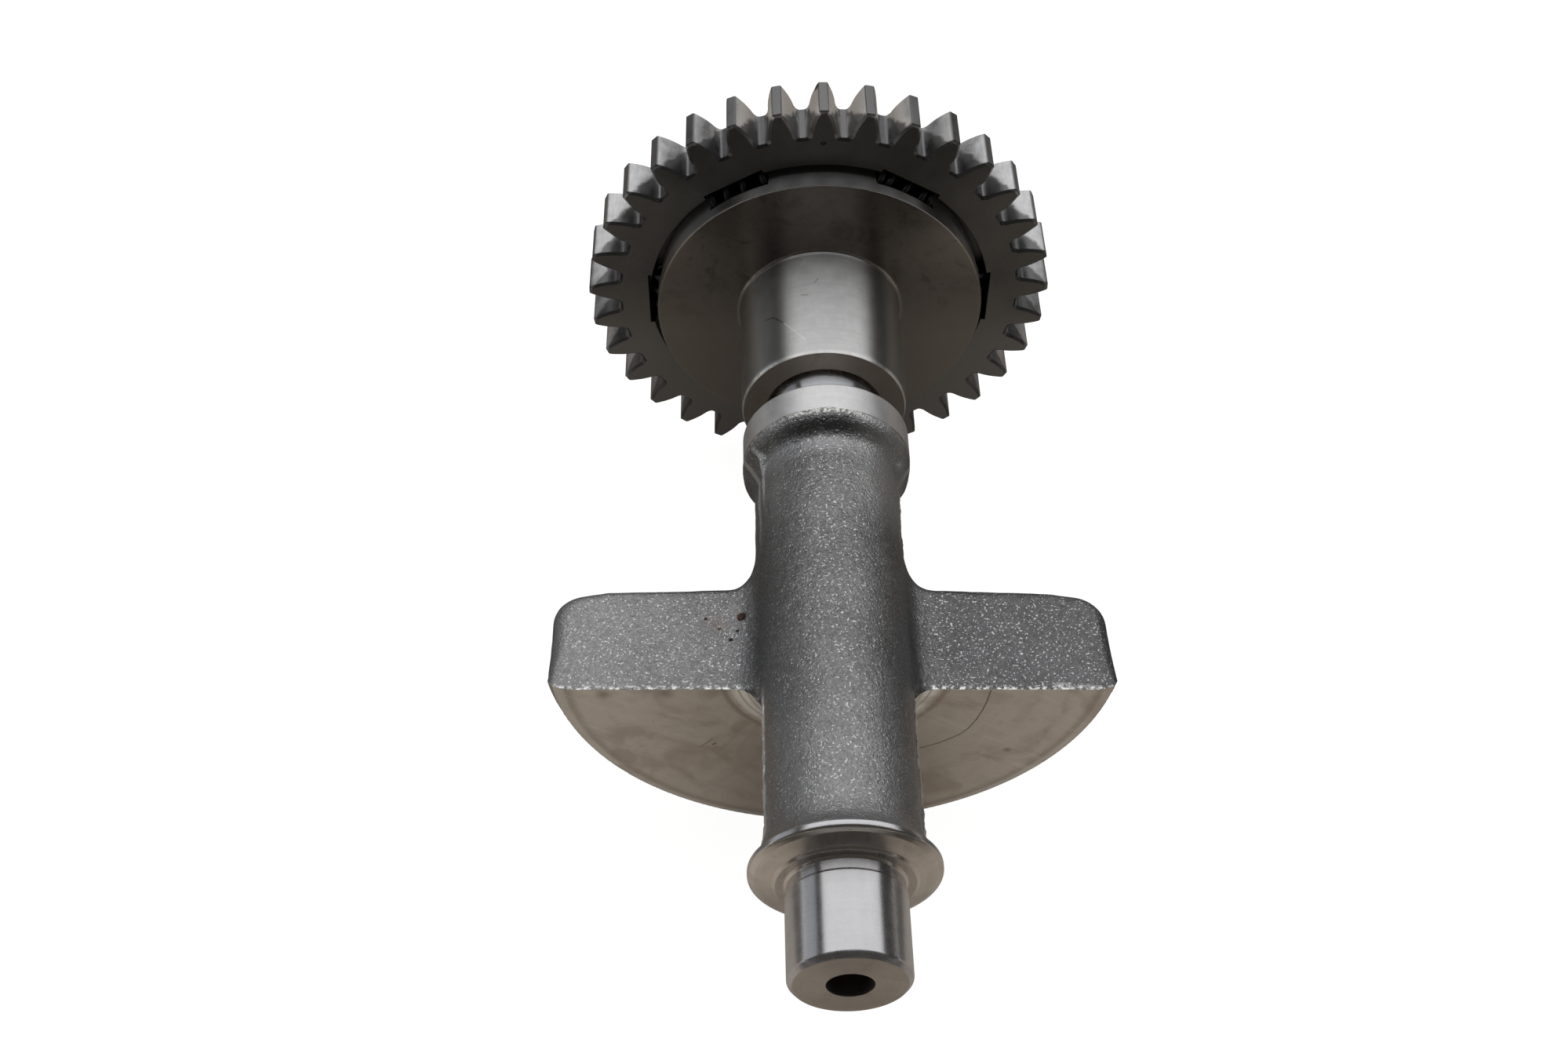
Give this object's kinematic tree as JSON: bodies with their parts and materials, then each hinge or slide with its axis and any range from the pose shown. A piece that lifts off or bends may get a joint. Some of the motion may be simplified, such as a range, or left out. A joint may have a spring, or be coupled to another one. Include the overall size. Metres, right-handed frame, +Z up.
{
  "type": "balance shaft",
  "caption": "Engine balance shaft: forged barrel with a half-disc counterweight, a ground front journal, and a spring-cushioned spur ring gear on a hub pressed onto the rear neck.",
  "frame": {"origin": "on the shaft axis, in the middle of the ground front journal", "axes": "+Y along the shaft from the free journal end towards the gear, +Z up, counterweight hanging towards -Z"},
  "size_m": [0.102, 0.1684, 0.0992],
  "materials": {
    "forged_steel": "shot-blasted forging with ground journal and turned faces",
    "turned_steel": "turned, sleeve ground bright",
    "gear_steel": "dark satin faces, polished tooth flanks",
    "spring_steel": "drawn spring wire",
    "plate_steel": "pressed plate",
    "clip_steel": "phosphated spring steel"
  },
  "bodies": {
    "shaft": {"balance_shaft": "forged_steel", "gear_hub": "turned_steel", "damper_spring_1": "spring_steel", "damper_spring_2": "spring_steel", "damper_spring_3": "spring_steel", "damper_spring_4": "spring_steel", "damper_spring_5": "spring_steel", "damper_spring_6": "spring_steel", "retaining_plate": "plate_steel", "retaining_ring": "clip_steel"},
    "gear": {"ring_gear": "gear_steel"}
  },
  "joints": [
    {"name": "gear_cushion", "type": "hinge", "parent": "shaft", "child": "gear", "pos_m": [0, 0.15185, 0], "axis": [0, 1, 0], "range_deg": [-3.5, 3.5], "stiffness_Nm_per_rad": 440, "deforming": ["damper_spring_1", "damper_spring_2", "damper_spring_3", "damper_spring_4", "damper_spring_5", "damper_spring_6"]}
  ]
}
